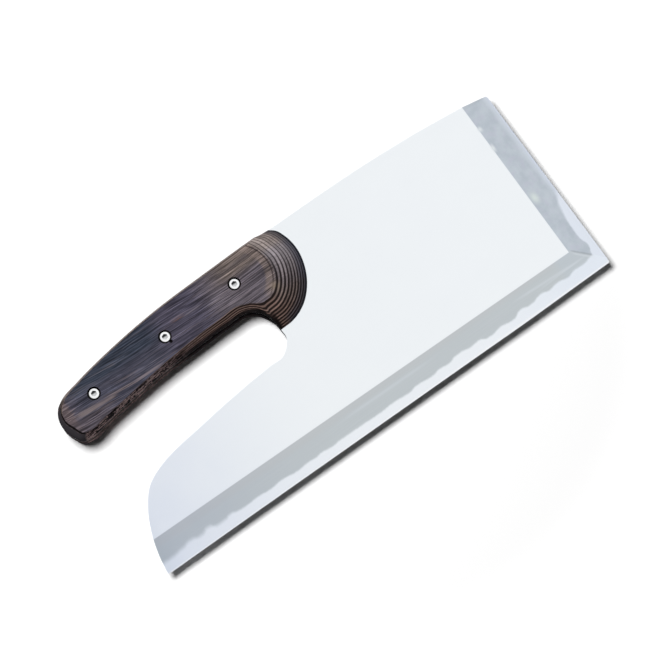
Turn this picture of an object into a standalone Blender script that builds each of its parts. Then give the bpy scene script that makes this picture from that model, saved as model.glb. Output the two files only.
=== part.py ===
"""A soba knife, built as it comes apart on a bench.

A broad blade with a square tip is forged in one piece with its full tang, which runs back over
the finger gap. Two laminated wood scales lie on the tang, one on each face, and three socket-head
screws in three sleeve nuts clamp the stack.

Drawing axes, in metres: X runs along the cutting edge from the heel corner to the tip, Y from the
cutting edge to the spine, and Z up from the flat face of the back scale, which the knife lies on.
The knife's origin is at the middle of its footprint.
"""

import math

import bmesh
import bpy
from mathutils import Vector

# Blade
BLADE_LENGTH = 0.2995
FRONT_LEAN = 0.0009
EDGE_BELLY = 0.0008
SPINE_HEIGHT = 0.1242
TIP_DROP = 0.0074
SPINE_FALL_START = 0.1850
SPINE_FALL_POWER = 2.1
BLADE_THICKNESS = 0.0040
EDGE_THICKNESS = 0.0004
EDGE_BEVEL_HEEL_WIDTH = 0.0199
EDGE_BEVEL_TIP_WIDTH = 0.0167
FRONT_EDGE_THICKNESS = 0.0010
FRONT_BEVEL_FOOT_WIDTH = 0.0161
FRONT_BEVEL_TOP_WIDTH = 0.0158
LOWER_TIP_RADIUS = 0.0008
UPPER_TIP_RADIUS = 0.0018

# Scales
SCALE_THICKNESS = 0.0100
ROUND_DEPTH = 0.0050
ROUND_FULLNESS = 1.75
SLOPE_STRAIGHTNESS = 0.7
SLOPE_FULLNESS = 2.5

# Screws and sleeve nuts, counted from the butt
SCREW_PLACES = ((0.0233, -0.0213), (0.0727, -0.0180), (0.1206, -0.0159))
HEAD_DIAMETER = 0.0060
HEAD_HEIGHT = 0.0030
HEAD_CHAMFER = 0.0005
HEAD_SINK = 0.0003
SOCKET_WIDTH = 0.0030
SOCKET_DEPTH = 0.0018
SHANK_DIAMETER = 0.0030
SLEEVE_DIAMETER = 0.0048
SLEEVE_FLOOR = 0.0010
THREAD_OVERLAP = 0.0070

# Small round pit in the front scale, at the rim of the middle screw's counterbore
PIT_DIAMETER = 0.0018
PIT_DEPTH = 0.0015
PIT_BEARING = -72.0

# Clearances between pieces that touch
SEAT_GAP = 0.0003
BORE_GAP = 0.0003
HEAD_GAP = 0.0006

# The grip's outline, from the scales' front corner on the spine, round the butt and along the
# underside to the neck. Each row holds a point of the widest outline, which tang and scales
# share, and the point of the scale's flat face beside it. X is measured from the heel corner and
# Y from the spine.
GRIP_ROWS = (
    ((0.1544, 0.0000), (0.1388, -0.0018)),
    ((0.1450, 0.0000), (0.1340, -0.0018)),
    ((0.1130, -0.0006), (0.1100, -0.0024)),
    ((0.0730, -0.0022), (0.0730, -0.0039)),
    ((0.0420, -0.0058), (0.0425, -0.0075)),
    ((0.0200, -0.0098), (0.0208, -0.0115)),
    ((0.0062, -0.0136), (0.0080, -0.0152)),
    ((0.0021, -0.0166), (0.0046, -0.0180)),
    ((-0.0003, -0.0206), (0.0028, -0.0210)),
    ((-0.0013, -0.0260), (0.0023, -0.0252)),
    ((0.0004, -0.0328), (0.0042, -0.0306)),
    ((0.0036, -0.0380), (0.0066, -0.0357)),
    ((0.0092, -0.0393), (0.0104, -0.0368)),
    ((0.0210, -0.0369), (0.0205, -0.0356)),
    ((0.0400, -0.0345), (0.0395, -0.0330)),
    ((0.0620, -0.0325), (0.0610, -0.0304)),
    ((0.0850, -0.0316), (0.0830, -0.0283)),
    ((0.1060, -0.0311), (0.1030, -0.0275)),
    ((0.1175, -0.0318), (0.1150, -0.0273)),
    ((0.1228, -0.0350), (0.1210, -0.0294)),
    ((0.1261, -0.0408), (0.1250, -0.0318)),
    ((0.1276, -0.0501), (0.1280, -0.0332)),
)

# The scales' front end, from the neck round to the spine, in the same way
FRONT_ROWS = (
    ((0.1276, -0.0501), (0.1280, -0.0332)),
    ((0.1366, -0.0495), (0.1340, -0.0325)),
    ((0.1456, -0.0458), (0.1382, -0.0294)),
    ((0.1537, -0.0382), (0.1410, -0.0254)),
    ((0.1591, -0.0283), (0.1427, -0.0205)),
    ((0.1613, -0.0167), (0.1431, -0.0152)),
    ((0.1601, -0.0084), (0.1421, -0.0098)),
    ((0.1574, -0.0025), (0.1402, -0.0042)),
    ((0.1544, 0.0000), (0.1388, -0.0018)),
)

# The finger gap's closed end, the blade's inner edge and the heel, down to the cutting edge. X is
# measured from the heel corner, and Y is a share of the spine's height.
GAP_ROWS = (
    (0.1273, 0.5500),
    (0.1262, 0.5363),
    (0.1230, 0.5097),
    (0.1214, 0.4992),
    (0.1100, 0.4903),
    (0.0900, 0.4770),
    (0.0700, 0.4586),
    (0.0570, 0.4444),
    (0.0450, 0.4324),
    (0.0312, 0.4080),
    (0.0198, 0.3655),
    (0.0115, 0.2858),
    (0.0051, 0.1812),
    (0.0016, 0.0845),
    (0.0000, 0.0000),
)

# How the cutting edge hangs below the line that the spine's height is measured from: shares of
# the edge's length and of its belly.
EDGE_ROWS = (
    (0.00, 0.00),
    (0.17, 0.00),
    (0.43, 0.38),
    (0.69, 0.75),
    (0.82, 1.00),
    (0.90, 0.75),
    (1.00, 0.50),
)

RUN_STEPS = 3
SPINE_STEPS = 10
CORNER_STEPS = 4
ROUND_SEGMENTS = 32
SCALE_LEVELS = (0.0, 0.1, 0.2, 0.3, 0.4, 0.5, 0.7, 0.85, 1.0)
BEVEL_STRIPS = 6
CUT_MARGIN = 0.0020

# The front edge's foot, which lies behind its top
FRONT_FOOT = BLADE_LENGTH - FRONT_LEAN

# Heights in the stack, from the back scale's flat face up
BLADE_BOTTOM = SCALE_THICKNESS + SEAT_GAP
BLADE_TOP = BLADE_BOTTOM + BLADE_THICKNESS
FRONT_SEAT = BLADE_TOP + SEAT_GAP
FRONT_FACE = FRONT_SEAT + SCALE_THICKNESS
COUNTERBORE_DEPTH = HEAD_SINK + HEAD_HEIGHT + BORE_GAP
COUNTERBORE_RADIUS = HEAD_DIAMETER / 2 + HEAD_GAP
SHANK_HOLE_RADIUS = SHANK_DIAMETER / 2 + BORE_GAP
SLEEVE_HOLE_RADIUS = SLEEVE_DIAMETER / 2 + BORE_GAP


def new_collection(name):
    collection = bpy.data.collections.new(name)
    bpy.context.scene.collection.children.link(collection)
    return collection


def clear_scene():
    for item in list(bpy.data.objects):
        bpy.data.objects.remove(item, do_unlink=True)


def principled(name, colour, roughness, metallic):
    material = bpy.data.materials.new(name)
    material.use_nodes = True
    shader = material.node_tree.nodes["Principled BSDF"]
    shader.inputs["Base Color"].default_value = (*colour, 1.0)
    shader.inputs["Roughness"].default_value = roughness
    shader.inputs["Metallic"].default_value = metallic
    return material


def smooth_run(points, steps):
    """Points along a smooth curve through the given ones, with so many steps to each stretch."""
    points = [Vector(point) for point in points]
    slopes = [(b - a) / (b - a).length for a, b in zip(points, points[1:])]
    tangents = [slopes[0]]
    for index in range(1, len(points) - 1):
        before = (points[index] - points[index - 1]).length
        after = (points[index + 1] - points[index]).length
        tangents.append((slopes[index - 1] * after + slopes[index] * before) / (before + after))
    tangents.append(slopes[-1])
    run = []
    for index in range(len(points) - 1):
        start, end = points[index], points[index + 1]
        length = (end - start).length
        for step in range(steps):
            t = step / steps
            run.append(
                start * (2 * t**3 - 3 * t**2 + 1)
                + tangents[index] * length * (t**3 - 2 * t**2 + t)
                + end * (3 * t**2 - 2 * t**3)
                + tangents[index + 1] * length * (t**3 - t**2)
            )
    run.append(points[-1])
    return run


def arc(centre, radius, start, end, steps):
    """Points of an arc between two angles in degrees."""
    points = []
    for step in range(steps + 1):
        angle = math.radians(start + (end - start) * step / steps)
        points.append(Vector(centre) + radius * Vector((math.cos(angle), math.sin(angle))))
    return points


def from_spine(point):
    """A point of the grip, whose Y is measured from the spine, in drawing axes."""
    return (point[0], point[1] + SPINE_HEIGHT)


def spine_run():
    """The spine, from the upper tip corner back to where it becomes level."""
    start = BLADE_LENGTH - UPPER_TIP_RADIUS
    points = []
    for step in range(SPINE_STEPS + 1):
        t = 1 - step / SPINE_STEPS
        x = SPINE_FALL_START + (start - SPINE_FALL_START) * t
        points.append(Vector((x, SPINE_HEIGHT - TIP_DROP * t**SPINE_FALL_POWER)))
    return points


def rim_run():
    """The grip's widest outline, then the finger gap and the heel, as one smooth run."""
    grip = [from_spine(rim) for rim, face in GRIP_ROWS]
    gap = [(across, share * SPINE_HEIGHT) for across, share in GAP_ROWS]
    return smooth_run(grip + gap, RUN_STEPS)


def grip_length():
    """How many points of the rim run lie on the grip."""
    return (len(GRIP_ROWS) - 1) * RUN_STEPS + 1


def edge_run():
    """The cutting edge, from the heel corner to where the lower tip corner's arc starts."""
    length = FRONT_FOOT - LOWER_TIP_RADIUS
    return smooth_run([(along * length, -down * EDGE_BELLY) for along, down in EDGE_ROWS], RUN_STEPS)


def blade_outline():
    """The blade and its tang, anticlockwise from the heel corner."""
    edge = edge_run()
    lower_centre = (edge[-1].x, edge[-1].y + LOWER_TIP_RADIUS)
    spine = spine_run()
    upper_centre = (spine[0].x, spine[0].y - UPPER_TIP_RADIUS)
    outline = edge[1:-1]
    outline += arc(lower_centre, LOWER_TIP_RADIUS, -90, 0, CORNER_STEPS)
    outline += arc(upper_centre, UPPER_TIP_RADIUS, 0, 90, CORNER_STEPS)[:-1]
    outline += spine
    outline += rim_run()
    return outline


def footprint_middle():
    """The middle of the knife's footprint."""
    outline = blade_outline()
    across = [point.x for point in outline]
    along = [point.y for point in outline]
    return Vector(((min(across) + max(across)) / 2, (min(along) + max(along)) / 2, 0))


def finish(item, parent, collection, material=None):
    """Hangs a piece or a cutter on the knife's origin, in its collection."""
    for held_by in list(item.users_collection):
        held_by.objects.unlink(item)
    collection.objects.link(item)
    item.parent = parent
    if material is None:
        item.hide_render = True
        item.display_type = "WIRE"
    else:
        item.data.materials.clear()
        item.data.materials.append(material)
    return item


def cut(item, cutter):
    """Takes a cutter's shape out of a piece."""
    boolean = item.modifiers.new(cutter.name, "BOOLEAN")
    boolean.operation = "DIFFERENCE"
    boolean.solver = "EXACT"
    boolean.object = cutter


def turned(name, profile):
    """A round piece: a profile of radius and height, turned about its own Z."""
    mesh = bpy.data.meshes.new(name)
    points = [(radius, 0, height) for radius, height in profile]
    edges = [(index, index + 1) for index in range(len(points) - 1)]
    mesh.from_pydata(points, edges, [])
    item = bpy.data.objects.new(name, mesh)
    bpy.context.scene.collection.objects.link(item)
    screw = item.modifiers.new("turn", "SCREW")
    screw.axis = "Z"
    screw.angle = math.tau
    screw.steps = ROUND_SEGMENTS
    screw.render_steps = ROUND_SEGMENTS
    screw.use_merge_vertices = True
    screw.merge_threshold = 0.00001
    screw.use_smooth_shade = True
    return item


def cylinder(name, radius, bottom, top, place, sides=ROUND_SEGMENTS):
    """An upright cylinder or prism between two heights."""
    bpy.ops.mesh.primitive_cylinder_add(vertices=sides, radius=radius, depth=top - bottom)
    item = bpy.context.object
    item.name = name
    item.location = (place[0], place[1], (bottom + top) / 2)
    return item


def bevel_cutter(name, ridge, edge, drop):
    """A block whose underside is a ground bevel.

    The underside runs from the ridge, the line where the bevel leaves the blade's front face, down
    by the drop to the edge, and goes on a little past both lines and their ends.
    """
    block = bmesh.new()
    rows = []
    for strip in range(-1, BEVEL_STRIPS + 2):
        along = strip / BEVEL_STRIPS
        high = Vector(ridge[0]).lerp(Vector(ridge[1]), along)
        low = Vector(edge[0]).lerp(Vector(edge[1]), along)
        past = CUT_MARGIN / (low - high).length
        before, after = high.lerp(low, -past), high.lerp(low, 1 + past)
        corners = (
            (*before, BLADE_TOP + drop * past),
            (*after, BLADE_TOP - drop * (1 + past)),
            (*after, BLADE_TOP + CUT_MARGIN),
            (*before, BLADE_TOP + CUT_MARGIN),
        )
        rows.append([block.verts.new(corner) for corner in corners])
    for row, following in zip(rows, rows[1:]):
        for index in range(4):
            other = (index + 1) % 4
            block.faces.new((row[index], row[other], following[other], following[index]))
    block.faces.new(rows[0])
    block.faces.new(rows[-1])
    bmesh.ops.recalc_face_normals(block, faces=block.faces)
    mesh = bpy.data.meshes.new(name)
    block.to_mesh(mesh)
    block.free()
    return bpy.data.objects.new(name, mesh)


def make_blade(parent, parts, cutters, steel):
    """The plate with its full tang, and the bevels ground on its front face."""
    curve = bpy.data.curves.new("blade", "CURVE")
    curve.dimensions = "2D"
    curve.fill_mode = "BOTH"
    curve.extrude = BLADE_THICKNESS / 2
    spline = curve.splines.new("POLY")
    outline = blade_outline()
    spline.points.add(len(outline) - 1)
    for point, place in zip(spline.points, outline):
        point.co = (place.x, place.y, 0, 1)
    spline.use_cyclic_u = True
    drawn = bpy.data.objects.new("blade_curve", curve)
    bpy.context.scene.collection.objects.link(drawn)
    bpy.context.view_layer.update()
    mesh = bpy.data.meshes.new_from_object(drawn.evaluated_get(bpy.context.evaluated_depsgraph_get()))
    bpy.data.objects.remove(drawn, do_unlink=True)
    bpy.data.curves.remove(curve)
    plate = bmesh.new()
    plate.from_mesh(mesh)
    bmesh.ops.remove_doubles(plate, verts=plate.verts, dist=0.00001)
    plate.to_mesh(mesh)
    plate.free()
    blade = bpy.data.objects.new("blade", mesh)
    blade.location.z = (BLADE_BOTTOM + BLADE_TOP) / 2
    finish(blade, parent, parts, steel)

    edge = bevel_cutter(
        "edge_bevel",
        ridge=((0, EDGE_BEVEL_HEEL_WIDTH), (BLADE_LENGTH, EDGE_BEVEL_TIP_WIDTH)),
        edge=((0, 0), (BLADE_LENGTH, 0)),
        drop=BLADE_THICKNESS - EDGE_THICKNESS,
    )
    front = bevel_cutter(
        "front_bevel",
        ridge=(
            (FRONT_FOOT - FRONT_BEVEL_FOOT_WIDTH, 0),
            (BLADE_LENGTH - FRONT_BEVEL_TOP_WIDTH, SPINE_HEIGHT),
        ),
        edge=((FRONT_FOOT, 0), (BLADE_LENGTH, SPINE_HEIGHT)),
        drop=BLADE_THICKNESS - FRONT_EDGE_THICKNESS,
    )
    for cutter in (edge, front):
        cut(blade, finish(cutter, parent, cutters))
    for number, place in enumerate(SCREW_PLACES, start=1):
        hole = cylinder(
            f"tang_hole_{number}",
            SLEEVE_HOLE_RADIUS,
            BLADE_BOTTOM - CUT_MARGIN,
            BLADE_TOP + CUT_MARGIN,
            from_spine(place),
        )
        cut(blade, finish(hole, parent, cutters))
    return blade


def scale_ring(drop):
    """One level outline of a scale, so far down from its flat face."""
    grip_rims = rim_run()[: grip_length()]
    grip_faces = smooth_run([from_spine(face) for rim, face in GRIP_ROWS], RUN_STEPS)
    front_rims = smooth_run([from_spine(rim) for rim, face in FRONT_ROWS], RUN_STEPS)
    front_faces = smooth_run([from_spine(face) for rim, face in FRONT_ROWS], RUN_STEPS)
    ring = []
    last = len(grip_rims) - 1
    for index, (rim, face) in enumerate(zip(grip_rims, grip_faces)):
        nearness = max(0, 1 - min(index, last - index) / RUN_STEPS)
        ring.append(face.lerp(rim, grip_way(drop) * (1 - nearness) + slope_way(drop) * nearness))
    for rim, face in list(zip(front_rims, front_faces))[1:-1]:
        ring.append(face.lerp(rim, slope_way(drop)))
    return ring


def grip_way(drop):
    """How far from its face to its rim the grip's rounded side has come at a drop."""
    return 1 - (1 - min(drop / ROUND_DEPTH, 1)) ** ROUND_FULLNESS


def slope_way(drop):
    """How far from its face to its rim the sloping front end has come at a drop."""
    share = drop / SCALE_THICKNESS
    rounding = 1 - (1 - share) ** SLOPE_FULLNESS
    return SLOPE_STRAIGHTNESS * share + (1 - SLOPE_STRAIGHTNESS) * rounding


def make_scale(name, side, parent, parts, wood):
    """A scale: level outlines joined from its flat face to its seat on the tang."""
    shell = bmesh.new()
    face_height = FRONT_FACE if side > 0 else 0
    rings = []
    for level in SCALE_LEVELS:
        drop = level * SCALE_THICKNESS
        ring = [shell.verts.new((p.x, p.y, face_height - side * drop)) for p in scale_ring(drop)]
        rings.append(ring)
    for upper, lower in zip(rings, rings[1:]):
        for index in range(len(upper)):
            following = (index + 1) % len(upper)
            shell.faces.new((upper[index], lower[index], lower[following], upper[following]))
    shell.faces.new(rings[0])
    shell.faces.new(rings[-1])
    bmesh.ops.recalc_face_normals(shell, faces=shell.faces)
    mesh = bpy.data.meshes.new(name)
    shell.to_mesh(mesh)
    shell.free()
    mesh.shade_smooth()
    mesh.set_sharp_from_angle(angle=math.radians(30))
    return finish(bpy.data.objects.new(name, mesh), parent, parts, wood)


def bore_scale(scale, side, hole_radius, parent, cutters):
    """Three stepped bores: a counterbore for each head, and a hole through to the tang."""
    for number, place in enumerate(SCREW_PLACES, start=1):
        profile = (
            (0, CUT_MARGIN),
            (COUNTERBORE_RADIUS, CUT_MARGIN),
            (COUNTERBORE_RADIUS, -COUNTERBORE_DEPTH),
            (hole_radius, -COUNTERBORE_DEPTH),
            (hole_radius, -SCALE_THICKNESS - CUT_MARGIN / 8),
            (0, -SCALE_THICKNESS - CUT_MARGIN / 8),
        )
        bore = turned(f"{scale.name}_bore_{number}", profile)
        place_fastener(bore, place, side, FRONT_FACE if side > 0 else 0)
        cut(scale, finish(bore, parent, cutters))


def place_fastener(item, place, side, height):
    """Stands a turned piece on a screw's axis, head toward the front or the back."""
    item.location = (*from_spine(place), height)
    item.rotation_euler.x = 0 if side > 0 else math.pi


def head_profile():
    """A cylindrical head with a chamfered rim, down to its seat at height 0."""
    radius = HEAD_DIAMETER / 2
    return [
        (0, HEAD_HEIGHT),
        (radius - HEAD_CHAMFER, HEAD_HEIGHT),
        (radius, HEAD_HEIGHT - HEAD_CHAMFER),
        (radius, 0),
    ]


def cut_socket(fastener, place, side, seat, parent, cutters):
    """The hexagonal socket in a head."""
    top = HEAD_HEIGHT + CUT_MARGIN
    bottom = HEAD_HEIGHT - SOCKET_DEPTH
    socket = cylinder(f"{fastener.name}_socket", SOCKET_WIDTH / math.sqrt(3), bottom, top, place, sides=6)
    for vertex in socket.data.vertices:
        vertex.co.z += (bottom + top) / 2
    place_fastener(socket, place, side, seat)
    cut(fastener, finish(socket, parent, cutters))


def make_fasteners(parent, parts, cutters, steel):
    """A screw from the front into a sleeve nut from the back, at each place."""
    screw_seat = FRONT_FACE - HEAD_SINK - HEAD_HEIGHT
    nut_seat = HEAD_SINK + HEAD_HEIGHT
    sleeve_end = BLADE_TOP - BORE_GAP
    shank_end = sleeve_end - THREAD_OVERLAP
    floor = nut_seat + SLEEVE_FLOOR
    radius = SHANK_DIAMETER / 2
    chamfer = radius / 4
    for number, place in enumerate(SCREW_PLACES, start=1):
        profile = head_profile() + [
            (radius, 0),
            (radius, shank_end - screw_seat + chamfer),
            (radius - chamfer, shank_end - screw_seat),
            (0, shank_end - screw_seat),
        ]
        screw = turned(f"handle_screw_{number}", profile)
        place_fastener(screw, place, 1, screw_seat)
        finish(screw, parent, parts, steel)
        cut_socket(screw, place, 1, screw_seat, parent, cutters)

        profile = head_profile() + [
            (SLEEVE_DIAMETER / 2, 0),
            (SLEEVE_DIAMETER / 2, nut_seat - sleeve_end),
            (radius + BORE_GAP, nut_seat - sleeve_end),
            (radius + BORE_GAP, nut_seat - floor),
            (0, nut_seat - floor),
        ]
        nut = turned(f"sleeve_nut_{number}", profile)
        place_fastener(nut, place, -1, nut_seat)
        finish(nut, parent, parts, steel)
        cut_socket(nut, place, -1, nut_seat, parent, cutters)


def cut_pit(scale, parent, cutters):
    """The small pit, which breaks into the rim of the middle screw's counterbore."""
    bearing = math.radians(PIT_BEARING)
    middle = from_spine(SCREW_PLACES[1])
    reach = COUNTERBORE_RADIUS + PIT_DIAMETER / 2 - BORE_GAP
    place = (middle[0] + reach * math.cos(bearing), middle[1] + reach * math.sin(bearing))
    pit = cylinder("rim_pit", PIT_DIAMETER / 2, FRONT_FACE - PIT_DEPTH, FRONT_FACE + CUT_MARGIN, place, sides=16)
    cut(scale, finish(pit, parent, cutters))


def main():
    clear_scene()
    parts = new_collection("soba_knife")
    cutters = new_collection("cutters")
    origin = bpy.data.objects.new("knife_origin", None)
    parts.objects.link(origin)
    origin.location = -footprint_middle()

    steel = principled("blade_steel", (0.78, 0.80, 0.82), 0.32, 1.0)
    front_wood = principled("front_scale_wood", (0.085, 0.075, 0.090), 0.45, 0.0)
    back_wood = principled("back_scale_wood", (0.085, 0.075, 0.090), 0.45, 0.0)
    bright = principled("screw_steel", (0.86, 0.87, 0.88), 0.15, 1.0)

    make_blade(origin, parts, cutters, steel)
    front = make_scale("front_scale", 1, origin, parts, front_wood)
    bore_scale(front, 1, SHANK_HOLE_RADIUS, origin, cutters)
    cut_pit(front, origin, cutters)
    back = make_scale("back_scale", -1, origin, parts, back_wood)
    bore_scale(back, -1, SLEEVE_HOLE_RADIUS, origin, cutters)
    make_fasteners(origin, parts, cutters, bright)


main()
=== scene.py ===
import math

import bmesh
import bpy
from mathutils import Matrix, Vector


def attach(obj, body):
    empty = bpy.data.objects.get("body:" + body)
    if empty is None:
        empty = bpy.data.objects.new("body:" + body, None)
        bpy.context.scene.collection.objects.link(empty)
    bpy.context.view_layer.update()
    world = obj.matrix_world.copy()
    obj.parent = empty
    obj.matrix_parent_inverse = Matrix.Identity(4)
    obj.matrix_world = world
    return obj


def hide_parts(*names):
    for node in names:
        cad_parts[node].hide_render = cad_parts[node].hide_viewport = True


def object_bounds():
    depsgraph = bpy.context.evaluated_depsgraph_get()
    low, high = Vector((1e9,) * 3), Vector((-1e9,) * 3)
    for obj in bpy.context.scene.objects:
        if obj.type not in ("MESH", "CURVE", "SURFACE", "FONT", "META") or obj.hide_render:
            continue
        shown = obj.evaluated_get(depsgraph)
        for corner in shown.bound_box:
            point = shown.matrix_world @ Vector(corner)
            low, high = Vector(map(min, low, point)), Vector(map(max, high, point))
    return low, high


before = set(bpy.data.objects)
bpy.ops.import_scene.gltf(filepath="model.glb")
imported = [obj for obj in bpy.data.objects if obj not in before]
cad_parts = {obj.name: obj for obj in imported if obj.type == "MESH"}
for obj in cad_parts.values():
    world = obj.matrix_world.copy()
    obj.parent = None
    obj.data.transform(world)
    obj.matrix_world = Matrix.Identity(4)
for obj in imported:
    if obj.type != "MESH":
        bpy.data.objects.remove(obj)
CAD_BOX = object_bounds()


def srgb(red, green, blue):
    """A screen colour, 0 to 255, as the linear value a socket takes."""
    values = []
    for part in (red, green, blue):
        part /= 255
        values.append(part / 12.92 if part <= 0.04045 else ((part + 0.055) / 1.055) ** 2.4)
    return (*values, 1.0)


# The knife in metres, in drawing axes: X along the cutting edge from the heel corner, Y from the
# cutting edge to the spine, and Z up from the flat side that it lies on
BLADE_LENGTH = 0.2995
FRONT_LEAN = 0.0009
EDGE_BELLY = 0.0008
SPINE_HEIGHT = 0.1242
TIP_DROP = 0.0074
SPINE_FALL_START = 0.1850
SPINE_FALL_POWER = 2.1
EDGE_THICKNESS = 0.0004
EDGE_BEVEL_HEEL_WIDTH = 0.0199
EDGE_BEVEL_TIP_WIDTH = 0.0167
FRONT_EDGE_THICKNESS = 0.0010
FRONT_BEVEL_FOOT_WIDTH = 0.0161
FRONT_BEVEL_TOP_WIDTH = 0.0158
LOWER_TIP_RADIUS = 0.0008
UPPER_TIP_RADIUS = 0.0018
BLADE_BOTTOM = 0.0103
BLADE_TOP = 0.0143
FRONT_FACE = 0.0246
SCALE_THICKNESS = 0.0100
ROUND_DEPTH = 0.0050
ROUND_FULLNESS = 1.75
SLOPE_STRAIGHTNESS = 0.7
SLOPE_FULLNESS = 2.5
SCREW_PLACES = ((0.0233, -0.0213), (0.0727, -0.0180), (0.1206, -0.0159))
HEAD_RADIUS = 0.0030
HEAD_HEIGHT = 0.0030
HEAD_ROUND = 0.0005
HEAD_SINK = 0.0003
SOCKET_WIDTH = 0.0030
SOCKET_DEPTH = 0.0018
SOCKET_TURN = math.radians(21.0)
SOCKET_CONE = 0.12
COUNTERBORE_RADIUS = 0.0036
COUNTERBORE_DEPTH = 0.0036
COUNTERBORE_EASE = 0.00015
SHANK_RADIUS = 0.0015
SHANK_CHAMFER = 0.0004
SHANK_GRIP = 0.0070
SHANK_HOLE_RADIUS = 0.0018
SLEEVE_RADIUS = 0.0024
SLEEVE_HOLE_RADIUS = 0.0027
SLEEVE_GAP = 0.0003
SLEEVE_BORE_SINK = 0.0010
PIT_RADIUS = 0.0009
PIT_DEPTH = 0.0015
PIT_TAPER = 0.8
PIT_OVERLAP = 0.0003
PIT_BEARING = math.radians(-72.0)

# From the spine by the butt to the gap: a scale's rim on the tang and the edge of its face beside
# it, from the heel corner along X and from the spine along Y
GRIP_ROWS = (
    ((0.1544, 0.0000), (0.1388, -0.0018)),
    ((0.1450, 0.0000), (0.1340, -0.0018)),
    ((0.1130, -0.0006), (0.1100, -0.0024)),
    ((0.0730, -0.0022), (0.0730, -0.0039)),
    ((0.0420, -0.0058), (0.0425, -0.0075)),
    ((0.0200, -0.0098), (0.0208, -0.0115)),
    ((0.0062, -0.0136), (0.0080, -0.0152)),
    ((0.0021, -0.0166), (0.0046, -0.0180)),
    ((-0.0003, -0.0206), (0.0028, -0.0210)),
    ((-0.0013, -0.0260), (0.0023, -0.0252)),
    ((0.0004, -0.0328), (0.0042, -0.0306)),
    ((0.0036, -0.0380), (0.0066, -0.0357)),
    ((0.0092, -0.0393), (0.0104, -0.0368)),
    ((0.0210, -0.0369), (0.0205, -0.0356)),
    ((0.0400, -0.0345), (0.0395, -0.0330)),
    ((0.0620, -0.0325), (0.0610, -0.0304)),
    ((0.0850, -0.0316), (0.0830, -0.0283)),
    ((0.1060, -0.0311), (0.1030, -0.0275)),
    ((0.1175, -0.0318), (0.1150, -0.0273)),
    ((0.1228, -0.0350), (0.1210, -0.0294)),
    ((0.1261, -0.0408), (0.1250, -0.0318)),
    ((0.1276, -0.0501), (0.1280, -0.0332)),
)
# The same where a scale ends on the blade, from the gap back to the spine
FRONT_ROWS = (
    GRIP_ROWS[-1],
    ((0.1366, -0.0495), (0.1340, -0.0325)),
    ((0.1456, -0.0458), (0.1382, -0.0294)),
    ((0.1537, -0.0382), (0.1410, -0.0254)),
    ((0.1591, -0.0283), (0.1427, -0.0205)),
    ((0.1613, -0.0167), (0.1431, -0.0152)),
    ((0.1601, -0.0084), (0.1421, -0.0098)),
    ((0.1574, -0.0025), (0.1402, -0.0042)),
    GRIP_ROWS[0],
)
# The blade from the gap round to the heel corner: X, and Y as a share of the spine's height
GAP_ROWS = (
    (0.1273, 0.5500), (0.1262, 0.5363), (0.1230, 0.5097), (0.1214, 0.4992), (0.1100, 0.4903),
    (0.0900, 0.4770), (0.0700, 0.4586), (0.0570, 0.4444), (0.0450, 0.4324), (0.0312, 0.4080),
    (0.0198, 0.3655), (0.0115, 0.2858), (0.0051, 0.1812), (0.0016, 0.0845), (0.0000, 0.0000),
)
# How the cutting edge bows: shares of its length and of its belly
EDGE_ROWS = ((0.0, 0.0), (0.17, 0.0), (0.43, 0.38), (0.69, 0.75), (0.82, 1.0), (0.90, 0.75), (1.0, 0.5))

# How finely the shapes are divided, and where shading turns sharp, in radians
RUN_STEPS = 9
SPINE_STEPS = 40
CORNER_STEPS = 8
HEAD_STEPS = 6
ROUND_STEPS = 64
SOCKET_SIDES = 6
BLADE_COLUMNS = 15
BLADE_ROWS = 6
FIRST_DROPS = (0.0, 0.0001, 0.0002, 0.00035, 0.0005)
ROUND_DROP = 0.00025
WALL_DROP = 0.0005
CUT_REACH = 0.001
WELD_REACH = 1e-6
BLADE_CREASE = math.radians(3.0)
WOOD_CREASE = math.radians(15.0)
SCREW_CREASE = math.radians(20.0)

# The front edge's foot, which lies behind its top
FRONT_FOOT = BLADE_LENGTH - FRONT_LEAN
# How much each bevel's width changes along it, and how far it comes down over its width
EDGE_BEVEL_CHANGE = EDGE_BEVEL_TIP_WIDTH - EDGE_BEVEL_HEEL_WIDTH
FRONT_BEVEL_CHANGE = FRONT_BEVEL_TOP_WIDTH - FRONT_BEVEL_FOOT_WIDTH
EDGE_DROP = BLADE_TOP - BLADE_BOTTOM - EDGE_THICKNESS
FRONT_DROP = BLADE_TOP - BLADE_BOTTOM - FRONT_EDGE_THICKNESS
# The frame's origin in drawing axes
ORIGIN = Vector((BLADE_LENGTH - CAD_BOX[1][0], SPINE_HEIGHT - CAD_BOX[1][1]))
# The materials and their tables are in millimetres
MM = 1000.0

# The cladding's border on the edge bevel, from the heel and from the cutting edge
EDGE_LINE = (
    (0, 6.4), (8, 6.3), (12, 6.9), (16, 7.2), (20, 8.1), (23, 7.6), (26, 6.9), (29, 7.3),
    (32, 8.3), (35, 7.2), (38, 6.3), (43, 6.4), (46, 7.2), (50, 6.3), (56, 5.9), (64, 6.2),
    (72, 5.6), (79, 6.2), (86, 5.5), (91, 5.2), (97, 5.7), (102, 5.3), (106, 5.8), (114, 5.1),
    (118, 5.5), (126, 5.4), (134, 5.3), (142, 5), (148, 5), (153, 5.4), (158, 5.3),
    (162, 4.8), (166, 4.8), (170, 5.7), (175, 5.3), (181, 4.9), (186, 5.8), (192, 5.2),
    (197, 6.5), (202, 6.5), (207, 5.7), (213, 6.1), (216.5, 4.6), (221, 4.3), (227, 5.3),
    (235, 4.4), (239, 5.6), (243, 6.6), (246.5, 5.7), (249, 5.7), (253, 6.6), (257, 7.1),
    (261.5, 6.1), (265, 6.7), (269, 6.9), (274, 6), (280, 7.2), (285, 7), (290, 8),
    (294, 8.4), (300, 8.5),
)
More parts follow.
